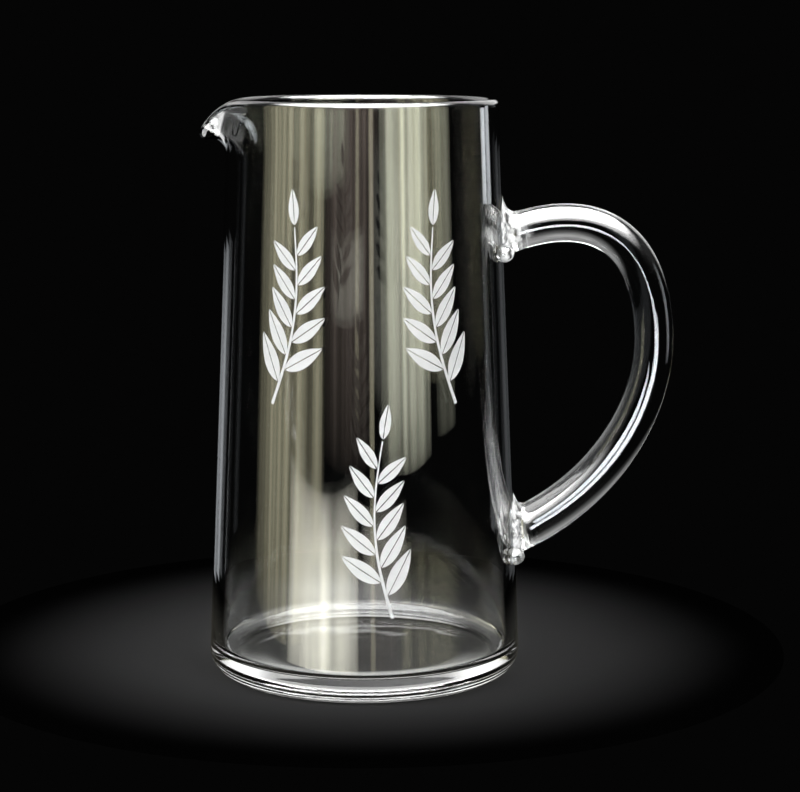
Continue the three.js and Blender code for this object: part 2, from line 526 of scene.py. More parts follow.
@dataclass
class Vessel:
    """The blown vessel: floor, heel, wall, rim and lip as one closed piece of glass."""

    height: float
    heel_radius: float
    rim_radius: float = 51.5 * MM
    heel_height: float = 9 * MM
    foot_radius: float = 51 * MM
    rim_wall: float = 4.2 * MM
    lower_wall: float = 4.6 * MM
    floor_thickness: float = 9.5 * MM
    floor_fillet: float = 4.5 * MM
    lip: Lip = field(default_factory=Lip)
    sides: int = 192
    arc_steps: int = 16
    wall_steps: int = 40
    lip_steps: int = 20
    smooth_angle: float = math.radians(60)

    @classmethod
    def from_frame(cls) -> "Vessel":
        """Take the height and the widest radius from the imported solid."""
        _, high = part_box("vessel_body")
        return cls(height=high[2], heel_radius=high[1])

    @property
    def rim_centre(self) -> float:
        """Height of the centre of the round rim."""
        return self.height - self.rim_wall / 2

    def share(self, z: float) -> float:
        """Share of the way up the wall."""
        return (z - self.heel_height) / (self.rim_centre - self.heel_height)

    def outer(self, z: float) -> float:
        """Outer radius of the wall at a height."""
        return blend(self.heel_radius, self.rim_radius, self.share(z))

    def wall(self, z: float) -> float:
        """Thickness of the wall at a height."""
        return blend(self.lower_wall, self.rim_wall, self.share(z))

    def middle(self, z: float) -> float:
        """Radius of the middle of the wall at a height."""
        return self.outer(z) - self.wall(z) / 2

    def outline(self) -> list[Pair]:
        """Half outline of the glass, from the axis under the foot to the axis on the floor.

        Returns:
            Radius and height of each point.
        """
        lip_start = self.height - self.lip.depth
        fillet_top = self.floor_thickness + self.floor_fillet
        inner_foot = self.outer(fillet_top) - self.wall(fillet_top)
        low = [blend(self.heel_height, lip_start, i / self.wall_steps) for i in range(1, self.wall_steps)]
        high = [blend(lip_start, self.rim_centre, i / self.lip_steps) for i in range(self.lip_steps)]
        heights = low + high
        heel = arc((self.foot_radius, self.heel_height),
                   (self.heel_radius - self.foot_radius, self.heel_height), -90, 0, self.arc_steps)
        rim = arc((self.rim_radius - self.rim_wall / 2, self.rim_centre),
                  (self.rim_wall / 2, self.rim_wall / 2), 0, 180, self.arc_steps)
        fillet = arc((inner_foot - self.floor_fillet, fillet_top),
                     (self.floor_fillet, self.floor_fillet), 0, -90, self.arc_steps)
        outside = [(self.outer(z), z) for z in heights]
        inside = [(self.outer(z) - self.wall(z), z) for z in reversed(heights) if z > fillet_top]
        underside = [(0.0, 0.0), (self.foot_radius / 2, 0.0)]
        inner_floor = [(fillet[-1][0] / 2, self.floor_thickness), (0.0, self.floor_thickness)]
        return underside + heel + outside + rim + inside + fillet + inner_floor

    def pull_lip(self, piece: bpy.types.Object) -> None:
        """Pull the rim out and down towards -X, turning the wall so that it keeps its thickness.

        Args:
            piece: The turned vessel.
        """
        start = self.height - self.lip.depth
        length = self.rim_centre - start
        lean = (self.middle(self.rim_centre) - self.middle(start)) / length
        for vertex in piece.data.vertices:
            x, y, z = vertex.co
            if z <= start:
                continue
            away = math.atan2(y, -x)
            station = min(z, self.rim_centre)
            beyond = z - station
            across = math.hypot(x, y) - self.middle(station)
            rise = (station - start) / length
            narrow = 1 / math.cosh(away / self.lip.spread)
            across *= 1 + self.lip.bead * narrow * rise ** self.lip.bead_sharpness
            beyond *= 1 + self.lip.bead * narrow ** self.lip.drop_sharpness
            reach = self.lip.reach * narrow
            drop = self.lip.drop * narrow ** self.lip.drop_sharpness
            outwards = lean + 2 * reach * rise / length
            upwards = 1 - 2 * drop * rise / length
            turn = math.atan2(outwards, upwards) - math.atan(lean)
            radius = self.middle(station) + reach * rise ** 2
            radius += across * math.cos(turn) + beyond * math.sin(turn)
            height = station - drop * rise ** 2 - across * math.sin(turn) + beyond * math.cos(turn)
            vertex.co = (-radius * math.cos(away), radius * math.sin(away), height)

    def build(self) -> bpy.types.Object:
        """Turn the vessel and pull its lip.

        Returns:
            The glass body.
        """
        piece = Bench.turned("clear_vessel", self.outline(), self.sides)
        self.pull_lip(piece)
        Bench.smooth(piece, self.smooth_angle)
        return piece

    def core(self, sink: float) -> bpy.types.Object:
        """A plain solid just inside the wall's outside, which trims what is welded on.

        Args:
            sink: How far below the outside it lies.

        Returns:
            The trimming solid.
        """
        low, high = self.heel_height, self.rim_centre
        outline = [(0.0, low), (self.outer(low) - sink, low), (self.outer(high) - sink, high), (0.0, high)]
        return Bench.turned("wall_core", outline, 2 * self.sides)


@dataclass
class Ring:
    """One ring of the handle: an oval square to the way that the glass runs."""

    centre: Vector
    heading: float
    half_up: float
    half_side: float


@dataclass
class WeldPad:
    """A flared end of the handle, where its glass was pressed on to the wall."""

    length: float
    up: float
    down: float
    side: float
    power: float
    toe_drop: float


class RodLine:
    """The rod's centre line, measured along its length."""

    def __init__(self, points: list[Vector]) -> None:
        """Measure the line.

        Args:
            points: Its points, at close steps.
        """
        self.points = points
        self.lengths = [0.0]
        for before, after in zip(points, points[1:]):
            self.lengths.append(self.lengths[-1] + (after - before).length)
        self.total = self.lengths[-1]

    def at(self, distance: float) -> tuple[Vector, float]:
        """Find a place on the line.

        Args:
            distance: How far along the line it is.

        Returns:
            The point, and the line's heading there.
        """
        index = 1
        while index < len(self.points) - 1 and self.lengths[index] < distance:
            index += 1
        share = (distance - self.lengths[index - 1]) / (self.lengths[index] - self.lengths[index - 1])
        step = self.points[index] - self.points[index - 1]
        heading = math.atan2(step.z, step.x)
        if distance > self.total / 2 and heading > 0:
            heading -= math.tau
        return self.points[index - 1] + step * share, heading


@dataclass
class Handle:
    """The applied handle: one bent rod of solid glass with a flared pad at each end."""

    vessel: Vessel
    reach: float = 111.97 * MM
    upper_weld: float = 169.6 * MM
    lower_weld: float = 54 * MM
    waist: float = 128.6 * MM
    upper_radius: float = 7.3 * MM
    lower_radius: float = 8.6 * MM
    swell_power: float = 2.5
    upper_rise: float = math.radians(22.0)
    lower_rise: float = math.radians(24.6)
    shoulder_fullness: float = 0.616
    upper_waist_fullness: float = 1.025
    lower_waist_fullness: float = 0.329
    tail_fullness: float = 0.77
    upper_pad: WeldPad = field(default_factory=lambda: WeldPad(
        10 * MM, 15.5 * MM, 8.4 * MM, 11.5 * MM, 3.6, 5.8 * MM))
    lower_pad: WeldPad = field(default_factory=lambda: WeldPad(
        11 * MM, 16 * MM, 9.6 * MM, 12.5 * MM, 3.6, 7.4 * MM))
    sides: int = 64
    line_steps: int = 240
    rod_rings: int = 96
    pad_rings: int = 18
    root_depth: float = 1.5 * MM
    root_growth: float = 1.12
    sink: float = 0.5 * MM
    toe_size: Triple = (4.2 * MM, 4.6 * MM, 3.4 * MM)
    toe_turn: float = math.radians(-11.0)
    toe_segments: int = 32
    toe_rings: int = 20
    smooth_angle: float = math.radians(50)

    def line(self) -> list[Vector]:
        """Centre line of the rod, from the upper weld round the waist to the lower weld.

        Returns:
            Points at close steps.
        """
        upper = Vector((self.vessel.outer(self.upper_weld), 0, self.upper_weld))
        lower = Vector((self.vessel.outer(self.lower_weld), 0, self.lower_weld))
        waist = Vector((self.reach, 0, self.waist))
        shoulder = Vector((math.cos(self.upper_rise), 0, math.sin(self.upper_rise)))
        tail = Vector((math.cos(self.lower_rise), 0, math.sin(self.lower_rise)))
        above = Vector((0, 0, self.upper_waist_fullness * (upper.z - waist.z)))
        below = Vector((0, 0, self.lower_waist_fullness * (waist.z - lower.z)))
        first = interpolate_bezier(
            upper, upper + shoulder * self.shoulder_fullness * (waist.x - upper.x),
            waist + above, waist, self.line_steps)
        second = interpolate_bezier(
            waist, waist - below, lower + tail * self.tail_fullness * (waist.x - lower.x),
            lower, self.line_steps)
        return first + second[1:]

    def radius(self, share: float) -> float:
        """Radius of the rod, a share of the way along it."""
        return blend(self.upper_radius, self.lower_radius, share ** self.swell_power)

    def flared(self, line: RodLine, pad: WeldPad, from_end: bool) -> list[Ring]:
        """Flare one pad from the rod to inside the wall.

        Args:
            line: The rod's centre line.
            pad: The pad.
            from_end: Whether it is at the line's end.

        Returns:
            The pad's rings, in order.
        """
        lean = (self.vessel.rim_radius - self.vessel.heel_radius) / self.vessel.height
        wall_up = Vector((lean, 0, 1)).normalized()
        inwards = Vector((-wall_up.z, 0, wall_up.x))
        travel = inwards if from_end else -inwards
        wall_heading = math.atan2(travel.z, travel.x)
        made = []
        for step in range(self.pad_rings + 1):
            share = step / self.pad_rings
            distance = pad.length * (1 - share)
            along = line.total - distance if from_end else distance
            centre, heading = line.at(along)
            rod = self.radius(along / line.total)
            flare = share ** pad.power
            up = blend(rod, pad.up, flare)
            down = blend(rod, pad.down, flare)
            shift = wall_up * (up - down) / 2
            made.append(Ring(centre + shift, blend(heading, wall_heading, share),
                             (up + down) / 2, blend(rod, pad.side, flare)))
        last = made[-1]
        made.append(Ring(last.centre + inwards * self.root_depth, last.heading,
                         last.half_up * self.root_growth, last.half_side * self.root_growth))
        return made

    def rings(self) -> list[Ring]:
        """Rings from inside the wall at the upper weld to inside the wall at the lower weld.

        Returns:
            The rings, in order.
        """
        line = RodLine(self.line())
        upper = self.flared(line, self.upper_pad, False)
        lower = self.flared(line, self.lower_pad, True)
        first, last = self.upper_pad.length, line.total - self.lower_pad.length
        rod = []
        for step in range(1, self.rod_rings):
            distance = blend(first, last, step / self.rod_rings)
            radius = self.radius(distance / line.total)
            rod.append(Ring(*line.at(distance), radius, radius))
        return list(reversed(upper)) + rod + lower

    def build(self) -> bpy.types.Object:
        """Extrude a disc from ring to ring and trim both ends to the wall.

        Returns:
            The handle.
        """
        rings = self.rings()
        first = rings[0]
        Bench.clear()
        bpy.ops.mesh.primitive_circle_add(
            vertices=self.sides, radius=first.half_up, fill_type="NGON",
            location=first.centre, rotation=(0, math.pi / 2 - first.heading, 0))
        piece = bpy.context.object
        piece.name = piece.data.name = "clear_handle"
        piece.scale = (1, first.half_side / first.half_up, 1)
        bpy.ops.object.transform_apply(location=True, rotation=True, scale=True)
        bpy.ops.object.mode_set(mode="EDIT")
        bpy.ops.mesh.select_all(action="SELECT")
        for before, after in zip(rings, rings[1:]):
            self.draw_on(before, after)
        Bench.close_up()
        self.hug_wall(piece)
        for weld, pad in ((self.upper_weld, self.upper_pad), (self.lower_weld, self.lower_pad)):
            self.join(piece, self.toe(weld - pad.toe_drop), "UNION")
        self.join(piece, self.vessel.core(self.sink), "DIFFERENCE")
        Bench.smooth(piece, self.smooth_angle)
        return piece

    @staticmethod
    def join(piece: bpy.types.Object, other: bpy.types.Object, operation: str) -> None:
        """Weld another solid to a piece or cut it away, and remove the other."""
        Bench.modify(piece, "BOOLEAN", operation=operation, object=other, solver="EXACT")
        bpy.data.objects.remove(other)

    def hug_wall(self, piece: bpy.types.Object) -> None:
        """Bend both pads round the wall, more and more towards their roots.

        Args:
            piece: The untrimmed handle.
        """
        for vertex in piece.data.vertices:
            x, y, z = vertex.co
            wall = self.vessel.outer(z)
            near = 1 - max(0.0, x - wall) / self.upper_pad.length
            if near > 0 and abs(y) < wall:
                vertex.co.x -= (wall - math.sqrt(wall ** 2 - y ** 2)) * near ** 2

    def toe(self, height: float) -> bpy.types.Object:
        """Model the drop of glass that hangs at the lower edge of a pad.

        Args:
            height: Height of its middle.

        Returns:
            The drop.
        """
        Bench.clear()
        ahead = Vector((self.vessel.outer(height), 0, height))
        bpy.ops.mesh.primitive_uv_sphere_add(
            segments=self.toe_segments, ring_count=self.toe_rings, radius=1.0,
            location=Matrix.Rotation(self.toe_turn, 3, "Z") @ ahead,
            rotation=(0, 0, self.toe_turn), scale=self.toe_size)
        drop = bpy.context.object
        bpy.ops.object.transform_apply(location=True, rotation=True, scale=True)
        return drop

    @staticmethod
    def draw_on(before: Ring, after: Ring) -> None:
        """Extrude the selected end from one ring to the next.

        Args:
            before: The ring that is selected.
            after: The next ring.
        """
        grow = after.half_up / before.half_up
        widen = after.half_side / before.half_side
        bpy.ops.mesh.extrude_region_move(
            TRANSFORM_OT_translate={"value": after.centre - before.centre})
        bpy.ops.transform.rotate(
            value=after.heading - before.heading, orient_axis="Y", center_override=after.centre)
        bpy.ops.transform.resize(value=(grow, widen, grow), center_override=after.centre)


@dataclass
class SprigPlace:
    """Where a sprig stands on the wall, seen from the front: right is positive."""

    turn: float
    height: float
    lean: float
    mirrored: bool


@dataclass
class LeafSprigs:
    """Frosted leaf sprigs, a thin skin on the outside of the wall."""

    vessel: Vessel
    length: float = 66 * MM
    bow: float = 5 * MM
    stem_width: float = 1.3 * MM
    leaf_length: float = 20 * MM
    tip_leaf_length: float = 13 * MM
    leaf_width: float = 3.3 * MM
    vein_gap: float = 0.35 * MM
    leaf_pairs: int = 5
    first_leaf: float = 0.12
    leaf_run: float = 0.8
    stagger: float = 0.5
    leaf_stalk: float = 0.06
    belly_place: float = 0.8
    belly_fullness: float = 0.9
    stem_taper: float = 0.6
    leaf_angle: float = math.radians(44.0)
    leaf_columns: int = 16
    leaf_rows: int = 3
    stem_steps: int = 40
    stand_off: float = 2 * MM
    lift: float = 0.02 * MM
    skin: float = 0.1 * MM
    smooth_angle: float = math.radians(40)
    places: tuple[SprigPlace, ...] = (
        SprigPlace(math.radians(-37), 112 * MM, math.radians(-8), False),
        SprigPlace(math.radians(37), 112 * MM, math.radians(8), True),
        SprigPlace(math.radians(10), 34 * MM, math.radians(3), True),
    )

    def stem_at(self, share: float) -> tuple[Vector, float]:
        """Point on the flat stem and the way it heads.

        Args:
            share: Share of the way from foot to tip.

        Returns:
            The point, and the heading from the stem's upright.
        """
        x = self.bow * math.sin(math.pi * share)
        slope = self.bow * math.pi * math.cos(math.pi * share) / self.length
        return Vector((x, self.length * share, 0)), -math.atan(slope)

    def half_leaf(self) -> bpy.types.Object:
        """Model one half of a leaf, a metre long along +Y, on one side of its vein.

        Returns:
            The flat half leaf.
        """
        Bench.clear()
        bpy.ops.mesh.primitive_grid_add(
            x_subdivisions=self.leaf_rows, y_subdivisions=self.leaf_columns, size=1.0)
        piece = bpy.context.object
        for vertex in piece.data.vertices:
            along = vertex.co.y + 0.5
            across = vertex.co.x + 0.5
            belly = math.sin(math.pi * along ** self.belly_place) ** self.belly_fullness
            vertex.co = (across * belly, along, 0.0)
        return piece

    def flat_sprig(self) -> bpy.types.Object:
        """Lay out the stem and its leaves flat, with the foot at the origin and +Y up the stem.

        Returns:
            The flat sprig.
        """
        half = self.half_leaf()
        parts = []
        spots = []
        for pair in range(self.leaf_pairs):
            for side in (-1, 1):
                step = pair + self.stagger * (side + 1) / 2
                share = self.first_leaf + self.leaf_run * step / self.leaf_pairs
                spots.append((share, side * self.leaf_angle))
        spots.append((1.0, 0.0))
        for share, angle in spots:
            point, heading = self.stem_at(share)
            size = blend(self.leaf_length, self.tip_leaf_length, share)
            width = self.leaf_width * size / self.leaf_length
            turn = Matrix.Rotation(heading - angle, 4, "Z")
            for side in (-1, 1):
                Bench.pick(half)
                bpy.ops.object.duplicate()
                copy = bpy.context.object
                vein = Matrix.Translation((side * self.vein_gap / 2, self.leaf_stalk * size, 0))
                copy.matrix_world = (
                    Matrix.Translation(point) @ turn @ vein @ Matrix.Diagonal((side * width, size, 1, 1)))
                parts.append(copy)
        bpy.data.objects.remove(half)
        parts.append(self.stem())
        Bench.pick(*parts)
        bpy.ops.object.transform_apply(location=True, rotation=True, scale=True)
        bpy.ops.object.join()
        sprig = bpy.context.object
        bpy.ops.object.mode_set(mode="EDIT")
        Bench.close_up()
        return sprig

    def stem(self) -> bpy.types.Object:
        """Model the flat stem, thinner towards its tip.

        Returns:
            The flat stem.
        """
        Bench.clear()
        bpy.ops.mesh.primitive_grid_add(x_subdivisions=2, y_subdivisions=self.stem_steps, size=1.0)
        piece = bpy.context.object
        for vertex in piece.data.vertices:
            share = vertex.co.y + 0.5
            point, heading = self.stem_at(share)
            reach = vertex.co.x * self.stem_width * (1 - self.stem_taper * share)
            vertex.co = point + Vector((math.cos(heading), math.sin(heading), 0)) * reach
        return piece

    def wrap(
        self, flat: bpy.types.Object, place: SprigPlace, target: bpy.types.Object, name: str,
    ) -> bpy.types.Object:
        """Copy the flat sprig on to the wall and give it its thickness.

        Args:
            flat: The flat sprig.
            place: Where it goes.
            target: The vessel.
            name: The new piece's name.

        Returns:
            The frosted skin.
        """
        Bench.pick(flat)
        bpy.ops.object.duplicate()
        piece = bpy.context.object
        piece.name = piece.data.name = name
        ahead = self.vessel.outer(place.height) + self.stand_off
        upright = Euler((math.pi / 2, 0, 0)).to_matrix().to_4x4()
        piece.matrix_world = (
            Matrix.Rotation(place.turn, 4, "Z") @ Matrix.Translation((0, -ahead, place.height))
            @ upright @ Matrix.Rotation(place.lean, 4, "Z")
            @ Matrix.Diagonal((-1 if place.mirrored else 1, 1, 1, 1)))
        Bench.pick(piece)
        bpy.ops.object.transform_apply(location=True, rotation=True, scale=True)
        Bench.modify(piece, "SHRINKWRAP", target=target, wrap_method="NEAREST_SURFACEPOINT",
                     wrap_mode="ABOVE_SURFACE", offset=self.lift)
        self.face_out(piece)
        Bench.modify(piece, "SOLIDIFY", thickness=self.skin, offset=1.0)
        Bench.smooth(piece, self.smooth_angle)
        return piece

    @staticmethod
    def face_out(piece: bpy.types.Object) -> None:
        """Turn each face of a flat skin away from the vessel's axis.

        Args:
            piece: The skin.
        """
        sheet = bmesh.new()
        sheet.from_mesh(piece.data)
        inward = [f for f in sheet.faces if f.normal.xy.dot(f.calc_center_median().xy) < 0]
        bmesh.ops.reverse_faces(sheet, faces=inward)
        sheet.to_mesh(piece.data)
        sheet.free()

    def build(self, target: bpy.types.Object) -> list[bpy.types.Object]:
        """Make every sprig.

        Args:
            target: The vessel that they lie on.

        Returns:
            The sprigs.
        """
        flat = self.flat_sprig()
        made = [self.wrap(flat, place, target, f"frosted_sprig_{number}")
                for number, place in enumerate(self.places, 1)]
        bpy.data.objects.remove(flat)
        return made


def direction(turn: float, rise: float) -> Vector:
    """The unit vector that points some degrees to the right of the front and above level."""
    turn, rise = math.radians(turn), math.radians(rise)
    return Vector((math.sin(turn) * math.cos(rise), -math.cos(turn) * math.cos(rise), math.sin(rise)))


def hang(lamp: bpy.types.Light, place: Vector, aim: Vector) -> bpy.types.Object:
    """Hang a lamp in its place, out of the camera's sight.

    Args:
        lamp: The lamp.
        place: Where it hangs.
        aim: The point that it faces.

    Returns:
        The lamp's object.
    """
    holder = bpy.data.objects.new(lamp.name, lamp)
    bpy.context.collection.objects.link(holder)
    holder.location = place
    holder.rotation_euler = (place - aim).to_track_quat("Z", "Y").to_euler()
    holder.visible_camera = False
    return holder


class Shown(Enum):
    """The rays that a panel shows to.

    ALL: every ray from gloss or glass. BARE: reflections on the outside of the glass.
    INNER: reflections inside it. HEEL: of these, the ones in the first wall. DEEP: the ones beyond it.
    """

    ALL = "all"
    BARE = "bare"
    INNER = "inner"
    HEEL = "heel"
    DEEP = "deep"


class Rays:
    """How a ray came to a lamp or to the world, as masks of 0 and 1.

    Attributes:
        passed: Glass let it through.
        turned: Gloss reflected it.
        once: It went into the glass and out of it once at most.
    """

    def __init__(self, paint: Paint) -> None:
        """Read the Light Path node.

        Args:
            paint: The builder of the lamp's or the world's tree.
        """
        self.paint = paint
        self.path = paint.node("ShaderNodeLightPath")
        self.passed = self.out("Transmission Depth").least(1.0)
        self.turned = self.out("Glossy Depth").least(1.0)
        self.once = self.out("Transmission Depth").below(ONE_PASS)

    def out(self, name: str) -> Value:
        """One of the node's outputs."""
        return Value(self.paint, self.path.outputs[name])

    def straight_through(self) -> Value:
        """1 on a ray that glass has only let through, with no reflection on its way."""
        bounces = self.out("Glossy Depth") + self.out("Diffuse Depth")
        return self.passed * (1.0 - bounces.least(1.0))

    def in_gloss(self) -> Value:
        """1 on a ray that gloss or glass sent there, with no rough surface before it."""
        gloss = self.out("Is Glossy Ray").most(self.out("Is Transmission Ray"))
        return gloss * (1.0 - self.out("Diffuse Depth").least(1.0))

    def masks(self) -> dict[Shown, Value | float]:
        """The mask of each kind of panel."""
        inner = self.passed * self.turned
        return {Shown.ALL: 1.0, Shown.BARE: 1.0 - self.passed, Shown.INNER: inner,
                Shown.HEEL: inner * self.once, Shown.DEEP: inner * (1.0 - self.once)}


@dataclass(frozen=True)
class Softbox:
    """A rectangular studio lamp with soft sides and upright folds.

    Like the backdrop, glass that is looked straight through doesn't show it, but gloss does.

    Attributes:
        name: The lamp's name.
        turn: Degrees to the right of the front.
        rise: Degrees above level.
        distance: How far it is from the point that it faces.
        width: Its width.
        height: Its height.
        radiance: Its strength.
        tint: Its colour in gloss; on rough surfaces it is white.
        folds: Number of folds across it.
        softness: How much its two sides fade.
        ends: How much its upper and lower ends fade.
        contrast: How much the folds differ.
        outer_gain: Its strength in reflections on the outside of the glass.
        inner_gain: The same for reflections inside the first wall.
        deep_gain: The same for reflections beyond that wall.
    """

    name: str
    turn: float
    rise: float
    distance: float
    width: float
    height: float
    radiance: float
    tint: Colour = (1.0, 1.0, 1.0)
    folds: float = 5.0
    softness: float = 0.5
    ends: float = 0.25
    contrast: float = 1.6
    outer_gain: float = 1.0
    inner_gain: float = 1.0
    deep_gain: float = 1.0
    fold_detail: float = 1.5
    fold_level: float = 1.2
    fold_least: float = 0.05
    hidden_below: float = 0.4

    def build(self, aim: Vector) -> bpy.types.Object:
        """Add the lamp.

        Args:
            aim: The point that it faces.

        Returns:
            The lamp's object.
        """
        lamp = bpy.data.lights.new(self.name, "AREA")
        lamp.shape = "RECTANGLE"
        lamp.size = self.width
        lamp.size_y = self.height
        lamp.energy = self.radiance * math.pi * self.width * self.height
        self.shade(lamp)
        return hang(lamp, aim + direction(self.turn, self.rise) * self.distance, aim)

    @staticmethod
    def faded(share: Value, power: float) -> Value:
        """1 at the middle of a side and 0 at both its ends: a parabola, raised to a power."""
        return (share * (1.0 - share) * 4.0).most(0.0) ** power

    def shade(self, lamp: bpy.types.Light) -> None:
        """Fade the lamp's sides, give it its folds and weigh it by the ray that sees it.

        Args:
            lamp: The area lamp.
        """
        lamp.use_nodes = True
        paint = Paint(lamp.node_tree)
        rays = Rays(paint)
        spot = paint.node("ShaderNodeNewGeometry")
        across = paint.part(spot.outputs["Parametric"], 0)
        along = paint.part(spot.outputs["Parametric"], 1)
        fold = paint.value(
            "ShaderNodeTexNoise", "Fac",
            settings={"noise_dimensions": "1D"},
            sockets={"W": across * self.folds + self.turn, "Scale": 1.0, "Detail": self.fold_detail},
        )
        stripes = ((fold - 0.5) * self.contrast + self.fold_level).most(self.fold_least)
        low = paint.part(spot.outputs["Position"], 2).below(self.hidden_below)
        shown = 1.0 - rays.straight_through() * low
        outer = rays.turned * (1.0 - rays.passed)
        inner = rays.turned * rays.passed * rays.once
        deep = rays.turned * (1.0 - rays.once)
        gain = 1.0 + outer * (self.outer_gain - 1.0) + inner * (self.inner_gain - 1.0)
        gain = gain + deep * (self.deep_gain - 1.0)
        shape = self.faded(across, self.softness) * self.faded(along, self.ends) * stripes
        glow = paint.node("ShaderNodeEmission", None, {
            "Color": paint.mix(rays.turned, (1.0, 1.0, 1.0), self.tint),
            "Strength": shape * shown * gain})
        paint.node("ShaderNodeOutputLight", None, {"Surface": glow.outputs[0]})


@dataclass(frozen=True)
class FloorSpot:
    """A small lamp behind the pitcher, whose pool of light on the floor shows through the base."""

    name: str
    aim: Triple
    half_cone: float
    power: float
    place: Triple = (0.0, 0.55, 0.7)
    blend: float = 0.6
    radius: float = 0.02

    def build(self) -> None:
        """Add the lamp, out of sight of gloss and glass."""
        lamp = bpy.data.lights.new(self.name, "SPOT")
        lamp.energy = self.power
        lamp.spot_size = 2 * self.half_cone
        lamp.spot_blend = self.blend
        lamp.shadow_soft_size = self.radius
        holder = hang(lamp, Vector(self.place), Vector(self.aim))
        holder.visible_glossy = holder.visible_transmission = False


@dataclass(frozen=True)
class Panel:
    """A soft round panel far away, for gloss and glass alone.

    Attributes:
        turn: Degrees to the right of the front.
        rise: Degrees above level.
        edge: Degrees from its middle to where it has faded away.
        full: Degrees from its middle to where it starts to fade.
        radiance: Its strength.
        shown: The rays that it shows to.
    """

    turn: float
    rise: float
    edge: float
    full: float
    radiance: float
    shown: Shown = Shown.ALL

    def disc(self, paint: Paint, way: bpy.types.NodeSocket) -> Value:
        """The panel as a mask over the ways to look."""
        near = paint.value("ShaderNodeVectorMath", "Value", settings={"operation": "DOT_PRODUCT"},
                           sockets={0: way, 1: direction(self.turn, self.rise)})
        return paint.fade(near, math.cos(math.radians(self.edge)), math.cos(math.radians(self.full)))


WARM: Colour = (1.0, 0.95, 0.66)
PALE: Colour = (1.0, 0.975, 0.84)
OLIVE: Colour = (0.98, 1.0, 0.78)
PLUM: Colour = (1.0, 0.82, 0.7)
COOL: Colour = (0.9, 0.95, 1.0)


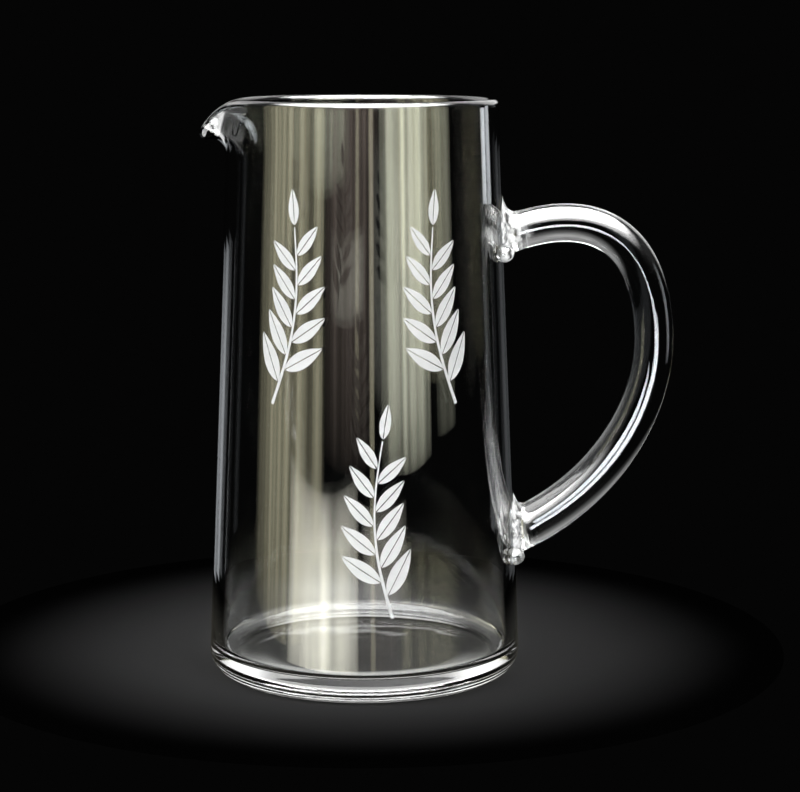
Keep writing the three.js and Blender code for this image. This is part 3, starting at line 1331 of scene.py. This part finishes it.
@dataclass
class Studio:
    """The plain stage: pale floor, dark backdrop, soft lamps and the camera."""

    aim_height: float
    backdrop: float = 0.0015
    fill: float = 0.1
    room: float = 0.28
    room_patches: float = 5.0
    room_detail: float = 2.0
    room_contrast: float = 1.6
    room_least: float = 0.2
    room_edge: float = math.sin(math.radians(8))
    room_full: float = math.sin(math.radians(28))
    horizon_edge: float = math.sin(math.radians(1))
    horizon_full: float = math.sin(math.radians(6))
    back_edge: float = -0.43
    back_full: float = -0.36
    ceiling: tuple[Panel, ...] = (
        Panel(0, 80, 50, 38, 20.0),
        Panel(0, 80, 14, 7, 22.0),
        Panel(0, 80, 50, 38, 25.0, Shown.INNER),
        Panel(0, 70, 58, 36, 20.0, Shown.BARE),
    )
    rim_lights: tuple[Panel, ...] = (
        Panel(-150, 25, 30, 14, 1.0, Shown.BARE),
        Panel(150, 25, 30, 14, 2.0, Shown.BARE),
        Panel(180, 10, 55, 30, 0.42, Shown.HEEL),
        Panel(122, 22, 34, 18, 1.0, Shown.HEEL),
        Panel(-125, 20, 34, 18, 1.0, Shown.HEEL),
        Panel(-158, -40, 25, 15, 0.9, Shown.HEEL),
        Panel(-108, -41, 25, 16, 7.0, Shown.BARE),
        Panel(180, 4, 9, 5, 2.5, Shown.DEEP),
        Panel(140, 23, 26, 12, 1.3, Shown.DEEP),
        Panel(-140, 23, 26, 12, 1.3, Shown.DEEP),
    )
    lamps: tuple[Softbox, ...] = (
        Softbox("left_window", -63, 11.9, 1.6, 1.68, 1.5, 1.85, WARM, 9.0, 1.0, contrast=2.8,
                outer_gain=1.9, inner_gain=0.5),
        Softbox("left_blind", -36, 13.7, 1.6, 0.25, 1.4, 2.2, WARM, 3.0,
                outer_gain=1.6, inner_gain=0.4),
        Softbox("middle_glow", -11, 20, 1.7, 1.3, 1.7, 0.8, PLUM, 8.0, ends=0.6, contrast=4.0,
                outer_gain=1.6, inner_gain=0.4),
        Softbox("middle_slit", 6, 8, 1.7, 0.12, 1.5, 1.5, WARM, 1.0,
                outer_gain=1.8, inner_gain=0.1),
        Softbox("right_window", 33, 11.7, 1.6, 1.2, 1.07, 3.0, OLIVE, 7.0, ends=0.4, contrast=2.5,
                outer_gain=2.7, inner_gain=0.1),
        Softbox("right_blind", 66, 13, 1.6, 0.5, 1.1, 1.0, OLIVE, 3.0,
                outer_gain=1.8, inner_gain=0.1),
        Softbox("front_low", -31.5, -11.1, 4.0, 4.0, 0.59, 3.2, PALE, 6.0, ends=0.6, contrast=1.8,
                outer_gain=3.1, inner_gain=0.4, deep_gain=0.3),
        Softbox("right_low", 15, -10, 1.3, 0.75, 0.085, 1.2, PALE, 3.0,
                outer_gain=1.8, inner_gain=0.1),
        Softbox("left_edge", -154, -13, 1.3, 0.3, 0.5, 0.5, COOL, 2.0, 1.2),
        Softbox("right_slit", 125, 4, 1.4, 0.2, 0.2, 3.0, COOL, 1.0),
        Softbox("right_edge", 154, -9, 1.3, 0.3, 0.5, 0.1, COOL, 2.0, 1.2),
    )
    handle_aim: Triple = (0.1, 0.0, 0.1)
    handle_lamps: tuple[Softbox, ...] = (
        Softbox("handle_left", -12.5, 5, 1.5, 0.68, 0.42, 3.0, COOL, 1.0, ends=0.5,
                outer_gain=8.0, inner_gain=0.12, deep_gain=0.12),
        Softbox("handle_right", 11.5, -11, 1.5, 0.68, 0.4, 3.0, COOL, 1.0, ends=0.4,
                outer_gain=8.0, inner_gain=0.12, deep_gain=0.12),
        Softbox("handle_edge", 86, 4, 1.5, 0.6, 0.9, 3.0, COOL, 2.0, ends=0.5,
                outer_gain=0.8, inner_gain=0.0, deep_gain=0.0),
        Softbox("handle_fill", 35, 15, 1.5, 1.2, 1.2, 9.0, ends=0.4,
                outer_gain=0.0, inner_gain=0.0, deep_gain=0.0),
    )
    spots: tuple[FloorSpot, ...] = (
        FloorSpot("near_spot", (0.0, 0.052, 0.0), math.radians(3.6), 58.0),
        FloorSpot("far_spot", (-0.012, 0.138, 0.0), math.radians(2.0), 60.0),
    )
    floor_radius: float = 0.17
    floor_sides: int = 128
    floor_set_back: float = 0.04
    floor_drop: float = 0.3 * MM
    camera_distance: float = 0.919
    camera_height: float = 0.2525
    camera_pitch: float = math.radians(8.96)
    camera_turn: float = math.radians(0.867)
    camera_clip: float = 0.01
    focal_pixels: float = 2403.5
    image_width: int = 800
    sensor: float = 36.0

    def build(self) -> list[bpy.types.Object]:
        """Set up the stage, the lamps, the world and the camera.

        Returns:
            The lamps that light the whole pitcher.
        """
        self.lay_floor()
        shared = [lamp.build(Vector((0, 0, self.aim_height))) for lamp in self.lamps]
        for spot in self.spots:
            spot.build()
        self.light_world()
        self.set_camera()
        bpy.context.scene.view_settings.view_transform = "Standard"
        return shared

    def light_apart(self, piece: bpy.types.Object, shared: list[bpy.types.Object]) -> None:
        """Add the lamps that light one piece alone, and keep the shared lamps off it.

        Args:
            piece: The piece.
            shared: The lamps that light the rest.
        """
        alone = bpy.data.collections.new("lit_alone")
        alone.objects.link(piece)
        for lamp in self.handle_lamps:
            lamp.build(Vector(self.handle_aim)).light_linking.receiver_collection = alone
        others = bpy.data.collections.new("lit_together")
        others.objects.link(piece)
        others.collection_objects[0].light_linking.link_state = "EXCLUDE"
        for holder in shared:
            holder.light_linking.receiver_collection = others

    def lay_floor(self) -> None:
        """Lay the floor just under the pitcher's foot."""
        Bench.clear()
        bpy.ops.mesh.primitive_circle_add(
            vertices=self.floor_sides, radius=self.floor_radius, fill_type="NGON",
            location=(0, self.floor_set_back, -self.floor_drop))
        bpy.ops.object.transform_apply(location=True, rotation=False, scale=False)
        floor = bpy.context.object
        floor.name = "floor"
        floor.data.materials.append(FloorPaint(self.floor_set_back).material())

    def light_world(self) -> None:
        """Give rough surfaces an even fill, and gloss and glass the panels on a dark backdrop."""
        world = bpy.data.worlds.new("studio")
        bpy.context.scene.world = world
        world.use_nodes = True
        paint = Paint(world.node_tree)
        rays = Rays(paint)
        masks = rays.masks()
        gloss = rays.in_gloss()
        seen = gloss.most(rays.out("Is Camera Ray"))
        way = paint.node("ShaderNodeTexCoord").outputs["Generated"]
        rise = paint.part(way, 2)
        front = paint.fade(0.0 - paint.part(way, 1), self.back_edge, self.back_full)
        up = paint.fade(rise, self.horizon_edge, self.horizon_full)
        patches = paint.noise_of(way, self.room_patches, self.room_detail)
        bright = paint.fade(rise, self.room_edge, self.room_full) * self.room
        bright = bright * (patches * self.room_contrast + self.room_least)
        for panel in self.ceiling:
            bright = bright + panel.disc(paint, way) * masks[panel.shown] * front * panel.radiance
        for panel in self.rim_lights:
            half = up if panel.rise > 0 else 1.0
            bright = bright + panel.disc(paint, way) * masks[panel.shown] * half * panel.radiance
        level = (1.0 - seen) * self.fill + seen * self.backdrop + gloss * bright
        light = paint.node("ShaderNodeBackground", None, {"Color": (1, 1, 1, 1), "Strength": level})
        paint.node("ShaderNodeOutputWorld", None, {"Surface": light.outputs[0]})

    def set_camera(self) -> None:
        """Set the camera at the photograph's viewing angle."""
        lens = bpy.data.cameras.new("camera")
        lens.sensor_fit = "HORIZONTAL"
        lens.sensor_width = self.sensor
        lens.lens = self.focal_pixels * self.sensor / self.image_width
        lens.clip_start = self.camera_clip
        camera = bpy.data.objects.new("camera", lens)
        bpy.context.collection.objects.link(camera)
        camera.location = (0, -self.camera_distance, self.camera_height)
        camera.rotation_euler = (math.pi / 2 - self.camera_pitch, 0, -self.camera_turn)
        bpy.context.scene.camera = camera


def main() -> None:
    """Build the pitcher and its stage."""
    logging.basicConfig(level=logging.INFO, format="%(message)s")
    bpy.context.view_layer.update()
    vessel = Vessel.from_frame()
    studio = Studio(aim_height=vessel.height / 2)
    shared_lamps = studio.build()
    body_glass = ClearGlass(
        "clear_body_glass", tint=(0.985, 0.99, 0.985), deep_tint=(0.97, 0.98, 0.975),
        streaks=(34, 34, 2.5), streak_depth=0.4 * MM)
    rod_glass = ClearGlass(
        "clear_rod_glass", tint=(0.985, 0.99, 0.987), deep_tint=(0.97, 0.98, 0.977),
        streaks=(30, 60, 30), streak_depth=0.15 * MM, weld_radius=58 * MM)
    frost = FrostedGlass().material()
    body = vessel.build()
    Bench.dress(body, body_glass.material(), Slot.VESSEL, "vessel_body")
    handle = Handle(vessel).build()
    Bench.dress(handle, rod_glass.material(), Slot.HANDLE,
                "handle_rod", "upper_handle_pad", "lower_handle_pad")
    studio.light_apart(handle, shared_lamps)
    for sprig in LeafSprigs(vessel).build(body):
        Bench.dress(sprig, frost, Slot.FROST)
    Bench.clear()


if __name__ == "__main__":
    main()
